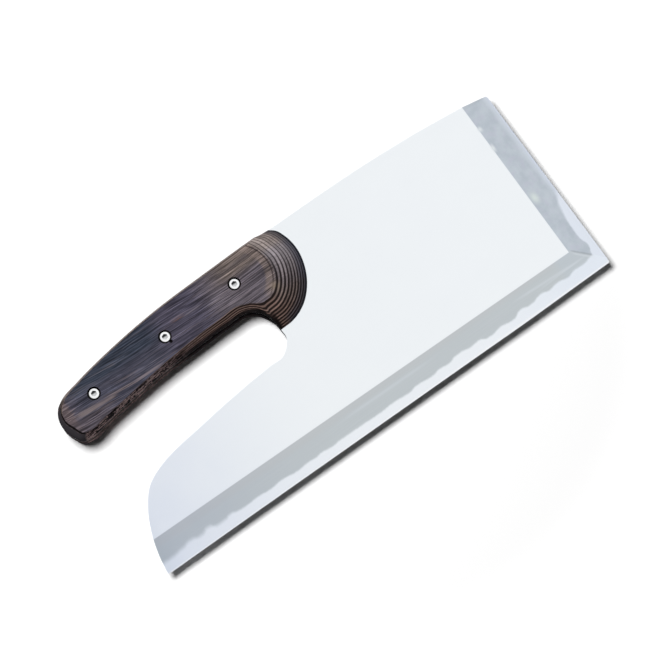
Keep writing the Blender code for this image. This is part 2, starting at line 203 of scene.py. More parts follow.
# Its border on the front bevel, from the cutting edge and back from the front
FRONT_LINE = (
    (0, 5.6), (8, 5.8), (10.5, 5.5), (12.5, 4.5), (15, 4.3), (18, 5.3), (22, 6), (27, 6),
    (32, 5.7), (36, 5.2), (40, 4.6), (43, 3.9), (46, 2.6), (49, 1.8), (54, 1.6), (60, 1.9),
    (66, 1.5), (74, 1.6), (84, 1.2), (96, 1.4), (108, 1.1), (126, 1.2),
)
EDGE_LINE_BOX = (300, 10)
FRONT_LINE_BOX = (126, 10)
# The mitre between the bevels: the direction across it and its distance from the heel corner
MITRE_ACROSS = (0.696, 0.718)
MITRE_PLACE = 209.9

# The steel's colours. A zone has a span along X, one along Y, its strength and its colour. A span
# runs from where the zone starts to where it is full.
# The flat is painted darker and bluer towards the heel: a painted reflection of a darker room
FLAT_HEEL_SHADE = srgb(220, 227, 241)
FLAT_HAZE = srgb(241, 245, 249)
FLAT_SHADE_ZONES = (
    ((-40, 130), None, 1, srgb(244, 248, 251)),
    ((14, 0), None, 0.6, srgb(213, 221, 233)),
)
# What the hard steel and the cladding make of the flat's colour
HARD_HEEL, HARD_TIP = (0.965, 0.97, 0.985, 1), (0.88, 0.905, 0.96, 1)
HARD_FRONT, HARD_FRONT_TOP = (0.835, 0.858, 0.92, 1), (0.7, 0.735, 0.81, 1)
EDGE_CLAD = ((0.61, 0.636, 0.646, 1), (0.65, 0.672, 0.68, 1))
CLAD_UPPER = (0.635, 0.635, 0.635, 1)
CLAD_BLUISH = (0.615, 0.655, 0.695, 1)
CLAD_BRUSHED = (0.76, 0.78, 0.8, 1)
CLAD_STREAK = (0.78, 0.8, 0.83, 1)
FRONT_CLAD = ((0.54, 0.579, 0.624, 1), (0.62, 0.656, 0.696, 1))
CLAD_MAUVE = (0.605, 0.6, 0.68, 1)
CLAD_OUTER = (0.7, 0.73, 0.78, 1)
# Painted highlights beside the mitre and along the polished cutting edge
MITRE_HIGHLIGHT = srgb(225, 230, 236)
EDGE_HIGHLIGHT = srgb(253, 254, 255)
# Walls: darker ground steel with painted shade; the flat back; the tang's wall, painted shade by the gap
WALL_SHADED_GREY, BACK_GREY = srgb(112, 117, 120), srgb(208, 211, 214)
TANG_GREY, TANG_SHADE = srgb(104, 92, 90), srgb(22, 21, 22)
# Light streaks along the cladding of the edge bevel: their ends, half width and strength
BAND_STREAKS = (
    ((236, 12.4), (292, 9.6), 1.3, 0.42),
    ((252, 9.2), (294, 10.4), 0.9, 0.3),
    ((120, 13.5), (190, 12.5), 1.6, 0.35),
)
# Light patches along the inner line of the front bevel: their middle, reach and colour
RIDGE_PATCHES = (
    ((286, 53), (3.6, 5.6), srgb(216, 225, 224)),
    ((284, 89.5), (1.9, 4), srgb(226, 232, 235)),
    ((284.3, 102.5), (2.2, 2.6), srgb(224, 230, 234)),
)
SCREW_STEEL = (srgb(244, 245, 246), srgb(252, 252, 253))
# The socket's painted light towards the cutting edge and painted shade towards the spine
SOCKET_LIT_AND_SHADED = (srgb(222, 223, 224), srgb(56, 56, 58))

# The wood's grains: rates along and across the handle, shift, detail, roughness and distortion
GRAINS = (
    ("broad", 0.012, 0.2, 0, 2, 0.5, 0),
    ("lines", 0.032, 1.2, 0, 4, 0.65, 0.2),
    ("fine", 0.055, 2, 0, 3, 0.6, 0),
    ("pores", 0.085, 1.95, 9, 2, 0.55, 0),
    ("thin", 0.018, 1.6, 3, 2, 0.5, 0),
)
# How light the veneers are by their grains: two of a grain's values, and the lightness at each
FACE_TONES = (
    ("lines", 0.37, 0.63, 0.71, 1.23),
    ("fine", 0.4, 0.6, 0.82, 1.2),
    ("broad", 0.3, 0.7, 0.9, 1.1),
    ("pores", 0.55, 0.595, 1, 0.58),
    ("pores", 0.405, 0.365, 1, 1.45),
    ("thin", 0.575, 0.6, 1, 1.42),
    ("thin", 0.43, 0.405, 1, 0.62),
)
SIDE_TONES = (
    ("fine", 0.25, 0.75, 0.8, 1.2),
    ("lines", 0.3, 0.7, 0.86, 1.14),
)
# The face's colours, in zones like the steel's
FACE_SLATE = srgb(55, 60, 72)
FACE_ZONES = (
    (None, (109.5, 104), 1, srgb(67, 67, 79)),
    ((62, 78), None, 1, srgb(71, 68, 81)),
    ((94, 112), None, 1, srgb(91, 85, 92)),
    ((17, 9), None, 0.45, srgb(79, 74, 84)),
    ((9, 6), None, 1, srgb(87, 77, 80)),
    ((36, 20), (97, 93), 0.75, srgb(82, 75, 81)),
)
BROWN_SPANS = ((106, 122), (108, 115))
FACE_BROWN, FACE_PALE_BAND = srgb(102, 92, 88), srgb(120, 107, 102)
LINE_TAN, STREAK_TAN, PATCH_TAN = srgb(112, 99, 95), srgb(124, 112, 111), srgb(122, 90, 72)
# The torn streak by the butt: its place across the grain, and its band along X
STREAK_PLACE = 98.2
STREAK_BAND = (12, 29, 6)
PATCH_SPOT = ((84, 110.6), (6, 1.5))
# The middle of the face's round end at the blade, and the lighter band and dark ring on it
NECK_CENTRE = (122.5, 109)
NECK_PALE_BAND = (17.2, 20.6, 1.8)
RING_RADIUS, RING_REACH = 20.3, 0.65
RING_DARK = srgb(36, 32, 36)
# Thin light lines in the face: their ends, half width and colour
FACE_LINES = (
    ((20, 97.2), (40, 95.8), 0.9, srgb(88, 81, 88)),
    ((25, 97.4), (48, 95.3), 0.45, srgb(124, 112, 112)),
    ((29, 96.2), (52, 94.2), 0.4, srgb(112, 101, 102)),
    ((42, 95.5), (66, 94.6), 1.1, srgb(126, 116, 121)),
    ((56, 96.6), (78, 96), 0.4, srgb(100, 93, 102)),
    ((86, 109.5), (101, 109.5), 0.6, srgb(106, 100, 110)),
    ((100, 106), (115, 106), 0.6, srgb(110, 103, 108)),
    ((0.5, 104.8), (9, 104.9), 0.35, srgb(128, 116, 116)),
    ((1, 102), (12, 102), 0.35, srgb(124, 112, 114)),
    ((2, 100), (10, 100.1), 0.35, srgb(128, 116, 116)),
    ((2, 98), (9, 98), 0.35, srgb(122, 110, 112)),
)
# The sides' colours: the veneers' edges, and the specks on the slope and the wall under the grip
# The veneers' edges as lit and shaded copies: painted lighter where they face the light
PLY_TURNED, PLY_LEVEL, PLY_LIT = srgb(126, 104, 96), srgb(122, 108, 104), srgb(162, 150, 146)
# Painted shade on the steep outer veneers and the rim at the blade, and on the unlit sides
PLY_OUTER_SHADE, PLY_RIM_SHADE, PLY_UNLIT_SHADE = srgb(92, 90, 98), srgb(46, 46, 52), srgb(26, 24, 24)
PLY_NAVY = (0.93, 0.99, 1.13, 1)
BLADE_END = (131, 137)
# Painted shade in the gap's corner: its spans along X and Y, and its colour
GAP_CORNER_SPANS = ((130.4, 128.4), (86, 79))
GAP_CORNER_SHADE = srgb(20, 18, 18)
# Specks on the slope and on the wall; the wall's carry painted light by the butt and painted shade towards
# the gap
SPECK_DARK = (srgb(21, 17, 19), srgb(27, 23, 25))
SPECK_PALE_AND_WALL_LIT = (srgb(132, 112, 112), srgb(230, 200, 198))
SPECK_AT_GAP_AND_WALL_SHADE = (srgb(128, 107, 107), srgb(62, 52, 51))
# The butt's end: dark end grain with painted shade; and a dark line at its face
BUTT_SHADE_GREY, BUTT_LINE = srgb(56, 53, 57), srgb(16, 14, 15)
# Dark glue lines, and painted shade in the counterbores and the pit
GLUE_DARK, BORE_SHADE, PIT_SHADE = srgb(20, 15, 15), srgb(17, 16, 17), srgb(12, 11, 12)
NECK_PATCH, NECK_PATCH_SPOT = srgb(134, 120, 108), ((139, 94), (4.8, 4.2))
# Painted highlights on the rims between the face and the underside: along X, strength and colour
UNDER_RIM_HIGHLIGHTS = (
    ((60, 112, 6), 0.85, srgb(142, 120, 110)),
    ((18, 56, 6), 0.75, srgb(118, 103, 103)),
)
# A painted highlight on the rim along the spine
SPINE_RIM_HIGHLIGHT = srgb(148, 132, 122)

# The studio in metres: the floor, how it glows by the distance from the knife's middle, what it
# sends back to the knife, and the light from all round
WHITE = (1.0, 1.0, 1.0, 1.0)
FLOOR_HALF = 3.0
FLOOR_GLOWS = ((0.155, 0.24, 0.0, 0.38), (0.25, 1.60, 0.0, 0.60))
FLOOR_RETURN = (0.50, 0.50, 0.50, 1.0)
AMBIENT_LEVEL = 0.027
# How bright the room is in the steel's mirror image, by the direction's Y and X
ROOM_BY_SIDE = (-1.4, -0.6, 0.10, 1.0)
ROOM_BY_HEEL = (-0.90, 0.05, 0.30, 1.0)
# The lamp, and its sides along and across the knife
KEY_WATTS = 25.4
KEY_SIZE = (0.48, 0.43)
KEY_PLACE = Vector((-0.25, 0.340, 1.45))
KEY_AIM = Vector((0.10, -0.05, 0.0))
# The camera: the drawing point in its middle, its direction, and its lens and sensor in millimetres
VIEW_TARGET = (0.15005, 0.0544)
VIEW_DIRECTION = Vector((0.1111, 0.1551, -0.9816))
VIEW_RIGHT = Vector((0.8129, -0.5824, 0.0))
VIEW_DISTANCE = 1.3888
VIEW_CLIP = (0.05, 20.0)
LENS = 135.4
SENSOR_WIDTH = 36.0


def smooth_run(points, steps):
    """A smooth curve through points, with so many steps to each stretch."""
    points = [Vector(point) for point in points]
    stretches = [end - start for start, end in zip(points, points[1:])]
    lengths = [stretch.length for stretch in stretches]
    slopes = [stretch / length for stretch, length in zip(stretches, lengths)]
    tangents = [slopes[0]]
    for index in range(1, len(points) - 1):
        before, after = lengths[index - 1], lengths[index]
        tangents.append((slopes[index - 1] * after + slopes[index] * before) / (before + after))
    tangents.append(slopes[-1])
    run = []
    for index, length in enumerate(lengths):
        start, end = points[index], points[index + 1]
        for step in range(steps):
            t = step / steps
            run.append(
                start * (2 * t**3 - 3 * t**2 + 1)
                + tangents[index] * length * (t**3 - 2 * t**2 + t)
                + end * (3 * t**2 - 2 * t**3)
                + tangents[index + 1] * length * (t**3 - t**2)
            )
    run.append(points[-1])
    return run


def arc(centre, radius, start, end, steps):
    """Points of an arc between two angles in degrees."""
    points = []
    for step in range(steps + 1):
        angle = math.radians(start + (end - start) * step / steps)
        points.append(Vector(centre) + radius * Vector((math.cos(angle), math.sin(angle))))
    return points


def from_spine(point):
    return (point[0], point[1] + SPINE_HEIGHT)


def below_spine(run):
    return [Vector((point.x, min(point.y, SPINE_HEIGHT))) for point in run]


def rim_run():
    """The tang's outline round the grip and on to the heel corner."""
    grip = [from_spine(rim) for rim, face in GRIP_ROWS]
    gap = [(across, share * SPINE_HEIGHT) for across, share in GAP_ROWS]
    return below_spine(smooth_run(grip + gap, RUN_STEPS))


def spine_run():
    """The spine from its tip back to where it stops falling."""
    start = BLADE_LENGTH - UPPER_TIP_RADIUS
    points = []
    for step in range(SPINE_STEPS + 1):
        t = 1 - step / SPINE_STEPS
        x = SPINE_FALL_START + (start - SPINE_FALL_START) * t
        points.append(Vector((x, SPINE_HEIGHT - TIP_DROP * t**SPINE_FALL_POWER)))
    return points


def edge_run():
    length = FRONT_FOOT - LOWER_TIP_RADIUS
    return smooth_run([(along * length, -down * EDGE_BELLY) for along, down in EDGE_ROWS], RUN_STEPS)


def blade_outline():
    """The blade and its tang, anticlockwise from the heel corner."""
    edge = edge_run()
    lower_centre = (edge[-1].x, edge[-1].y + LOWER_TIP_RADIUS)
    spine = spine_run()
    upper_centre = (spine[0].x, spine[0].y - UPPER_TIP_RADIUS)
    outline = edge[1:-1]
    outline += arc(lower_centre, LOWER_TIP_RADIUS, -90, 0, CORNER_STEPS)
    outline += arc(upper_centre, UPPER_TIP_RADIUS, 0, 90, CORNER_STEPS)[:-1]
    outline += spine
    outline += rim_run()
    return outline


def in_frame(point, height):
    return (point[0] - ORIGIN.x, point[1] - ORIGIN.y, height)


def mesh_object(name, builder):
    bmesh.ops.recalc_face_normals(builder, faces=builder.faces)
    mesh = bpy.data.meshes.new(name)
    builder.to_mesh(mesh)
    builder.free()
    item = bpy.data.objects.new(name, mesh)
    bpy.context.scene.collection.objects.link(item)
    return item


def pit_place():
    reach = COUNTERBORE_RADIUS + PIT_RADIUS - PIT_OVERLAP
    middle = SCREW_PLACES[1]
    return (middle[0] + reach * math.cos(PIT_BEARING), middle[1] + reach * math.sin(PIT_BEARING))


def join_rings(builder, rings):
    """Faces between rings of vertices. A ring of one vertex is a tip."""
    for first, second in zip(rings, rings[1:]):
        steps = max(len(first), len(second))
        for step in range(steps):
            following = (step + 1) % steps
            corners = []
            for ring, index in ((first, step), (first, following), (second, following), (second, step)):
                vertex = ring[index % len(ring)]
                if vertex not in corners:
                    corners.append(vertex)
            builder.faces.new(corners)


def turned(name, profile, place, height, side, sides=ROUND_STEPS, turn=0.0):
    """A round or many-sided piece on a screw's axis, from radius and height rows."""
    builder = bmesh.new()
    rings = []
    centre = in_frame(from_spine(place), height)
    for radius, level in profile:
        ring = []
        for step in range(sides if radius else 1):
            angle = math.tau * step / sides + turn
            x, y = radius * math.cos(angle), radius * math.sin(angle)
            ring.append(builder.verts.new((centre[0] + x, centre[1] + y, centre[2] + side * level)))
        rings.append(ring)
    join_rings(builder, rings)
    return mesh_object(name, builder)


def cut(item, cutters):
    """Takes cutters out of a piece and drops them."""
    for cutter in cutters:
        boolean = item.modifiers.new(cutter.name, "BOOLEAN")
        boolean.operation = "DIFFERENCE"
        boolean.solver = "EXACT"
        boolean.object = cutter
    bpy.context.view_layer.update()
    evaluated = item.evaluated_get(bpy.context.evaluated_depsgraph_get())
    mesh = bpy.data.meshes.new_from_object(evaluated)
    mesh.name = item.data.name
    item.modifiers.clear()
    item.data = mesh
    for cutter in cutters:
        bpy.data.objects.remove(cutter, do_unlink=True)


def dress(item, crease, node, material):
    item.data.shade_smooth()
    item.data.set_sharp_from_angle(angle=crease)
    item.data.materials.clear()
    item.data.materials.append(material)
    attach(item, "root")
    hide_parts(node)


class Graph:
    """Adds and joins the nodes of a material or a world."""

    def __init__(self, owner):
        owner.use_nodes = True
        self.owner = owner
        self.tree = owner.node_tree
        self.tree.nodes.clear()

    def add(self, kind, sockets=None, **settings):
        node = self.tree.nodes.new(kind)
        for key, value in settings.items():
            setattr(node, key, value)
        for key, value in (sockets or {}).items():
            self.put(node.inputs[key], value)
        return node

    def put(self, socket, value):
        if isinstance(value, bpy.types.NodeSocket):
            self.tree.links.new(value, socket)
        else:
            socket.default_value = value

    def math(self, operation, *values, **settings):
        sockets = dict(enumerate(values))
        return self.add("ShaderNodeMath", sockets, operation=operation, **settings).outputs[0]

    def folded(self, operation, first, *others):
        for other in others:
            first = self.math(operation, first, other)
        return first

    def sum(self, *values):
        return self.folded("ADD", *values)

    def product(self, *values):
        return self.folded("MULTIPLY", *values)

    def most(self, *values):
        return self.folded("MAXIMUM", *values)

    def less(self, first, second):
        return self.math("SUBTRACT", first, second)

    def size(self, value):
        return self.math("ABSOLUTE", value)

    def scaled(self, value, factor, shift=0):
        return self.math("MULTIPLY_ADD", value, factor, shift)

    def ramp(self, value, low, high, start=0, end=1):
        """Turns smoothly from start to end as the value goes from low to high."""
        sockets = {"Value": value, "From Min": low, "From Max": high, "To Min": start, "To Max": end}
        return self.add("ShaderNodeMapRange", sockets, interpolation_type="SMOOTHSTEP").outputs[0]

    def band(self, value, low, high, soft):
        """1 between two values, falling to 0 over the soft distance beyond each."""
        return self.product(self.ramp(value, low - soft, low), self.ramp(value, high + soft, high))

    def hump(self, value, centre, reach):
        return self.ramp(self.size(self.less(value, centre)), 0, reach, 1, 0)

    def spot(self, x, y, centre, reach):
        return self.product(self.hump(x, centre[0], reach[0]), self.hump(y, centre[1], reach[1]))

    def zone(self, x, y, x_span, y_span, strength=1):
        """A zone's strength at a drawing point. A span of None leaves its axis free."""
        spans = ((x, x_span), (y, y_span))
        return self.product(strength, *(self.ramp(value, *span) for value, span in spans if span))

    def zoned(self, x, y, colour, zones):
        for x_span, y_span, strength, level in zones:
            colour = self.mix(self.zone(x, y, x_span, y_span, strength), colour, level)
        return colour

    def streak(self, x, y, start, end, width):
        """A thin soft line between two drawing points."""
        slope = (end[1] - start[1]) / (end[0] - start[0])
        line = self.scaled(x, slope, start[1] - slope * start[0])
        soft = (end[0] - start[0]) * 0.3
        along = self.band(x, start[0] + soft, end[0] - soft, soft)
        return self.product(self.hump(self.less(y, line), 0, width), along)

    def point(self, x, y, z=0):
        return self.add("ShaderNodeCombineXYZ", {"X": x, "Y": y, "Z": z}).outputs[0]

    def distance(self, x, y, place):
        sockets = {0: self.point(x, y), 1: (*place, 0)}
        return self.add("ShaderNodeVectorMath", sockets, operation="DISTANCE").outputs["Value"]

    def noise(self, vector, detail=3, roughness=0.5, distortion=0):
        sockets = {"Vector": vector, "Scale": 1, "Detail": detail}
        sockets.update(Roughness=roughness, Distortion=distortion)
        return self.add("ShaderNodeTexNoise", sockets).outputs["Fac"]

    def blotches(self, x, y, along, over, shift=0, detail=2, roughness=0.5):
        return self.noise(self.point(self.scaled(x, along), self.scaled(y, over), shift), detail, roughness)

    def mix(self, share, first, second, blend="MIX"):
        sockets = {0: share, 6: first, 7: second}
        return self.add("ShaderNodeMix", sockets, data_type="RGBA", blend_type=blend).outputs[2]

    def toned(self, colour, tone):
        return self.mix(1, colour, self.point(tone, tone, tone), "MULTIPLY")

    def curve(self, value, rows, box):
        """A smooth line through rows of place and height, scaled to a box for the node."""
        span, top = box
        node = self.add("ShaderNodeFloatCurve", {"Value": self.math("DIVIDE", value, span)})
        dots = node.mapping.curves[0].points
        for place, height in rows[1:-1]:
            dots.new(place / span, height / top)
        for dot, (place, height) in zip(dots, rows):
            dot.location = (place / span, height / top)
            dot.handle_type = "AUTO"
        node.mapping.update()
        return self.product(node.outputs[0], top)

    def drawing(self):
        """X and Y in drawing millimetres, and the height."""
        place = self.add("ShaderNodeTexCoord").outputs["Object"]
        parts = self.add("ShaderNodeSeparateXYZ", {"Vector": place}).outputs
        x = self.scaled(parts["X"], MM, ORIGIN.x * MM)
        y = self.scaled(parts["Y"], MM, ORIGIN.y * MM)
        return x, y, self.scaled(parts["Z"], MM)

    def normal(self, kind):
        direction = self.add("ShaderNodeNewGeometry").outputs[kind]
        return self.add("ShaderNodeSeparateXYZ", {"Vector": direction}).outputs

    def from_screw(self, x, y):
        """How far a point lies from the nearest screw, and how far above it."""
        offsets = []
        for value, axis, base in ((x, 0, 0), (y, 1, SPINE_HEIGHT)):
            place = (SCREW_PLACES[0][axis] + base) * MM
            for before, after in zip(SCREW_PLACES, SCREW_PLACES[1:]):
                past = self.math("GREATER_THAN", x, (before[0] + after[0]) * MM / 2)
                place = self.sum(self.scaled(past, (after[axis] - before[axis]) * MM), place)
            offsets.append(self.less(value, place))
        squares = [self.math("POWER", offset, 2) for offset in offsets]
        return self.math("SQRT", self.sum(*squares)), offsets[1]

    def bump(self, height, distance):
        return self.add("ShaderNodeBump", {"Height": height, "Distance": distance}).outputs["Normal"]

    def principled(self, colour, roughness, **constants):
        shader = self.add("ShaderNodeBsdfPrincipled", {"Base Color": colour, "Roughness": roughness})
        for key, value in constants.items():
            self.put(shader.inputs[key.replace("_", " ")], value)
        self.add("ShaderNodeOutputMaterial", {"Surface": shader.outputs[0]})


class WoodPoint:
    """A point's place, depth, veneer, grain and facing, which the wood's colour depends on."""

    def __init__(self, g, face, outward):
        self.x, self.y, self.z = g.drawing()
        self.depth = g.product(g.less(face * MM, self.z), outward)
        uneven = g.blotches(self.x, self.y, 0.06, 0.06, detail=3)
        self.level = g.sum(self.depth, g.scaled(uneven, 0.5, 0.25))
        ply = g.math("FLOOR", self.level)
        self.chance = g.add("ShaderNodeTexWhiteNoise", {"W": ply}, noise_dimensions="1D").outputs["Value"]
        self.from_neck = g.distance(self.x, self.y, NECK_CENTRE)
        self.find_grain(g, g.scaled(self.chance, 57))
        self.find_facing(g, outward)

    def find_grain(self, g, shift):
        """The grains, and the bent line across the handle that they follow."""
        bend = g.blotches(self.x, self.y, 0.03, 0.03)
        self.across = g.sum(self.y, g.scaled(self.x, 0.1), g.scaled(g.product(self.x, self.x), -0.000417))
        wavy = g.sum(self.across, g.scaled(bend, 2.4, -1.2))
        self.grains = {}
        for name, along, over, own_shift, *character in GRAINS:
            place = g.point(g.scaled(self.x, along), g.scaled(wavy, over), g.sum(shift, own_shift))
            self.grains[name] = g.noise(place, *character)

    def find_facing(self, g, outward):
        """How far the surface turns up, to the light and to the spine, and where it is the butt."""
        facing = g.normal("Normal")
        self.upright = g.product(facing["Z"], outward)
        self.lightward = g.sum(facing["Y"], facing["X"], g.scaled(g.size(facing["X"]), -0.4))
        self.spineward = facing["Y"]
        away = g.product(g.ramp(facing["X"], -0.12, -0.3), g.ramp(facing["Y"], 0.7, 0.45))
        self.at_butt = g.product(away, g.ramp(self.x, 32, 22))
        self.butt = g.product(self.at_butt, g.ramp(self.upright, 0.95, 0.8))

    def tone(self, g, rows):
        return g.product(*(g.ramp(self.grains[name], *levels) for name, *levels in rows))


def face_colour(g, wood):
    """The veneer on a scale's face: slate at the butt, mauve and brown at the blade."""
    x, y, grains = wood.x, wood.y, wood.grains
    colour = g.zoned(x, y, FACE_SLATE, FACE_ZONES)
    brown = g.product(g.zone(x, y, *BROWN_SPANS), g.ramp(grains["broad"], 0.3, 0.6, 0.55, 1))
    colour = g.mix(brown, colour, FACE_BROWN)
    pale_band = g.product(g.band(wood.from_neck, *NECK_PALE_BAND), g.ramp(x, 129, 136))
    colour = g.mix(g.product(pale_band, g.ramp(grains["pores"], 0.62, 0.45, 0.35, 0.85)), colour, FACE_PALE_BAND)
    colour = g.toned(colour, wood.tone(g, FACE_TONES))
    return g.mix(g.ramp(grains["lines"], 0.54, 0.7, 0, 0.36), colour, LINE_TAN)


def face_marks(g, wood, colour):
    """The face's torn streak, thin lines, dark ring and brown patch."""
    x, y, fine = wood.x, wood.y, wood.grains["fine"]
    torn = g.product(g.ramp(wood.grains["lines"], 0.25, 0.55, 0.5, 1), g.ramp(fine, 0.6, 0.42, 0.45, 1))
    width = g.ramp(x, 8, 28, 1.7, 1.1)
    beside = g.size(g.less(wood.across, STREAK_PLACE))
    streak = g.ramp(beside, g.product(width, 1.15), g.product(width, 0.45))
    colour = g.mix(g.product(streak, torn, g.band(x, *STREAK_BAND)), colour, STREAK_TAN)
    for start, end, width, level in FACE_LINES:
        share = g.product(g.streak(x, y, start, end, width), g.ramp(fine, 0.35, 0.55, 0.35, 1))
        colour = g.mix(share, colour, level)
    ring = g.product(g.hump(wood.from_neck, RING_RADIUS, RING_REACH), g.ramp(x, 132, 136), 0.8)
    colour = g.mix(ring, colour, RING_DARK)
    patch = g.product(g.spot(x, y, *PATCH_SPOT), g.ramp(fine, 0.4, 0.62), 0.75)
    return g.mix(patch, colour, PATCH_TAN)


def ply_colour(g, wood):
    """The veneers' edges on the sides, painted lighter or shaded by how they face the light, and their
    share of the rim's painted shade at the blade.
    """
    x, y, depth = wood.x, wood.y, wood.depth
    # Painted light and shade: the veneers' colour by how the side faces the light
    colour = g.mix(g.ramp(wood.lightward, -0.45, -0.12), PLY_TURNED, PLY_LEVEL)
    colour = g.mix(g.ramp(wood.lightward, -0.12, 0.4), colour, PLY_LIT)
    colour = g.toned(colour, g.product(g.scaled(wood.chance, 0.4, 0.8), wood.tone(g, SIDE_TONES)))
    # The steep outer veneers by the blade: their bluish tone with painted shade, and painted shade at the
    # rim
    outer = g.product(g.ramp(depth, 5.6, 8), g.ramp(x, *BLADE_END), 0.75)
    colour = g.mix(outer, colour, PLY_OUTER_SHADE)
    rim = g.product(g.ramp(depth, 8.7, 9.3), g.ramp(x, *BLADE_END))
    colour = g.mix(rim, colour, PLY_RIM_SHADE)
    navy = g.product(g.ramp(x, 136, 143), g.band(y, 94, 111, 6))
    colour = g.mix(navy, colour, PLY_NAVY, "MULTIPLY")
    # Painted shade: darker as the side steepens, and low down by the gap
    gap_shade = g.product(g.ramp(y, 89, 80), g.band(x, 122, 126, 4))
    shade = g.product(g.ramp(depth, 1, 7, 0.98, 0.67), g.ramp(depth, 0.2, 2.4, 0.84, 1))
    colour = g.toned(colour, g.product(shade, g.scaled(gap_shade, -0.6, 1)))
    # Sides that face neither up nor to the light are painted near-black as shade
    lit = g.most(g.ramp(wood.upright, 0.4, 0.6), g.ramp(wood.lightward, 0, 0.25))
    colour = g.mix(lit, PLY_UNLIT_SHADE, colour)
    # Painted shade in the gap's corner
    return g.mix(g.zone(x, y, *GAP_CORNER_SPANS), colour, GAP_CORNER_SHADE), rim


def speck_colour(g, wood, on_wall):
    """The dashes where the veneers come out slantwise under the grip, with painted light on the wall by the
    butt and painted shade on it towards the gap.
    """
    apparent = g.sum(wood.y, g.product(wood.z, g.ramp(wood.z, 10, 14.5, 0.3, 0.16)))
    row = g.sum(apparent, g.scaled(wood.x, -0.127))
    rows = g.blotches(wood.x, row, 0.1, 1.35, 17)
    dashes = g.blotches(wood.x, row, 0.75, 1.6, 5, roughness=0.6)
    speck = g.sum(g.scaled(rows, 0.55), g.scaled(dashes, 0.45))
    dark = g.mix(on_wall, *SPECK_DARK)
    # The wall's pale specks are painted light; towards the gap the wall's are painted shade
    specks = g.mix(g.ramp(speck, 0.46, 0.56), dark, g.mix(on_wall, *SPECK_PALE_AND_WALL_LIT))
    at_gap = g.mix(g.ramp(speck, 0.43, 0.55), dark, g.mix(on_wall, *SPECK_AT_GAP_AND_WALL_SHADE))
    return g.mix(g.ramp(wood.x, 84, 56), at_gap, specks)


def side_colour(g, wood):
    """A scale's sides, with their shares of specks and of the rim's painted shade."""
    colour, outer_rim = ply_colour(g, wood)
    on_wall = g.ramp(wood.upright, 0.6, 0.2)
    under = g.product(g.ramp(wood.x, 124, 116), g.ramp(wood.lightward, -0.1, -0.4))
    mottled = g.product(under, g.ramp(wood.x, 104, 62))
    share = g.most(mottled, g.product(under, on_wall))
    colour = g.mix(share, colour, speck_colour(g, wood, on_wall))
    # The butt's end painted plain dark grey: dark end grain with painted shade
    colour = g.mix(g.product(wood.butt, g.ramp(wood.depth, 0.2, 1.2)), colour, BUTT_SHADE_GREY)
    return colour, mottled, outer_rim


def rim_colour(g, wood, colour):
    """The thin lines round the face: dark at the butt, and painted highlights on the rim below and along
    the spine.
    """
    colour = g.mix(g.product(g.band(wood.depth, 0.15, 0.7, 0.15), wood.at_butt), colour, BUTT_LINE)
    rim = g.band(wood.depth, 0.05, 0.3, 0.05)
    under = g.product(rim, g.ramp(wood.lightward, -0.08, -0.3), g.ramp(g.less(1, wood.butt), 0.3, 0.7))
    # Painted highlights on the rim below the face
    for along, strength, level in UNDER_RIM_HIGHLIGHTS:
        colour = g.mix(g.product(under, g.band(wood.x, *along), strength), colour, level)
    # A painted highlight on the rim along the spine
    spine = g.product(rim, g.ramp(wood.spineward, 0.12, 0.4), 0.8)
    return g.mix(g.product(spine, g.ramp(wood.grains["fine"], 0.3, 0.6, 0.5, 1)), colour, SPINE_RIM_HIGHLIGHT)


def glue_share(g, wood, mottled, outer_rim):
    """The glue lines, wider and darker where the sides turn from the light."""
    beside = g.size(g.less(g.math("FRACT", wood.level), 0.5))
    bright = g.ramp(wood.lightward, -0.12, 0.48)
    glue = g.ramp(beside, g.scaled(bright, 0.16, 0.12), g.scaled(bright, 0.12, 0.31))
    glue = g.product(glue, g.ramp(wood.depth, 0.04, 0.14), g.ramp(bright, 0, 1, 0.95, 0.68))
    glue = g.product(glue, g.scaled(outer_rim, -0.8, 1), g.scaled(mottled, -0.4, 1))
    return g.product(glue, g.ramp(wood.butt, 0, 1, 1, 0.25))


def hole_colour(g, wood, colour, has_pit):
    """The counterbores, and the pit on the front scale, painted dark as shade in the recesses."""
    away = g.from_screw(wood.x, wood.y)[0]
    bore = COUNTERBORE_RADIUS * MM
    # Painted shade in the counterbore
    colour = g.mix(g.ramp(away, bore + 0.25, bore + 0.05), colour, BORE_SHADE)
    if has_pit:
        pit = [part * MM for part in from_spine(pit_place())]
        radius = PIT_RADIUS * MM
        # Painted shade in the pit
        in_pit = g.ramp(g.distance(wood.x, wood.y, pit), radius + 0.15, radius - 0.05)
        colour = g.mix(in_pit, colour, PIT_SHADE)
    return colour


def wood_material(name, face, outward):
    """Dark laminated veneers, a millimetre each, with darker glue lines between."""
    g = Graph(bpy.data.materials.new(name))
    wood = WoodPoint(g, face, outward)
    sides, mottled, outer_rim = side_colour(g, wood)
    colour = face_marks(g, wood, face_colour(g, wood))
    colour = g.mix(g.ramp(wood.depth, 0.1, 0.4), colour, sides)
    colour = rim_colour(g, wood, colour)
    glue = glue_share(g, wood, mottled, outer_rim)
    colour = g.mix(glue, colour, GLUE_DARK)
    neck_patch = g.product(g.spot(wood.x, wood.y, *NECK_PATCH_SPOT), g.scaled(glue, -0.95, 0.95))
    colour = g.mix(neck_patch, colour, NECK_PATCH)
    colour = hole_colour(g, wood, colour, outward > 0)

    relief = g.sum(g.scaled(wood.grains["fine"], 0.4), g.scaled(wood.grains["lines"], 0.6))
    relief = g.sum(relief, g.scaled(glue, -0.8))
    rough = g.ramp(wood.upright, 0.95, 0.8, 0.5, 0.85)
    g.principled(colour, rough, Normal=g.bump(relief, 0.00006), Specular_IOR_Level=0.02)
    return g.owner


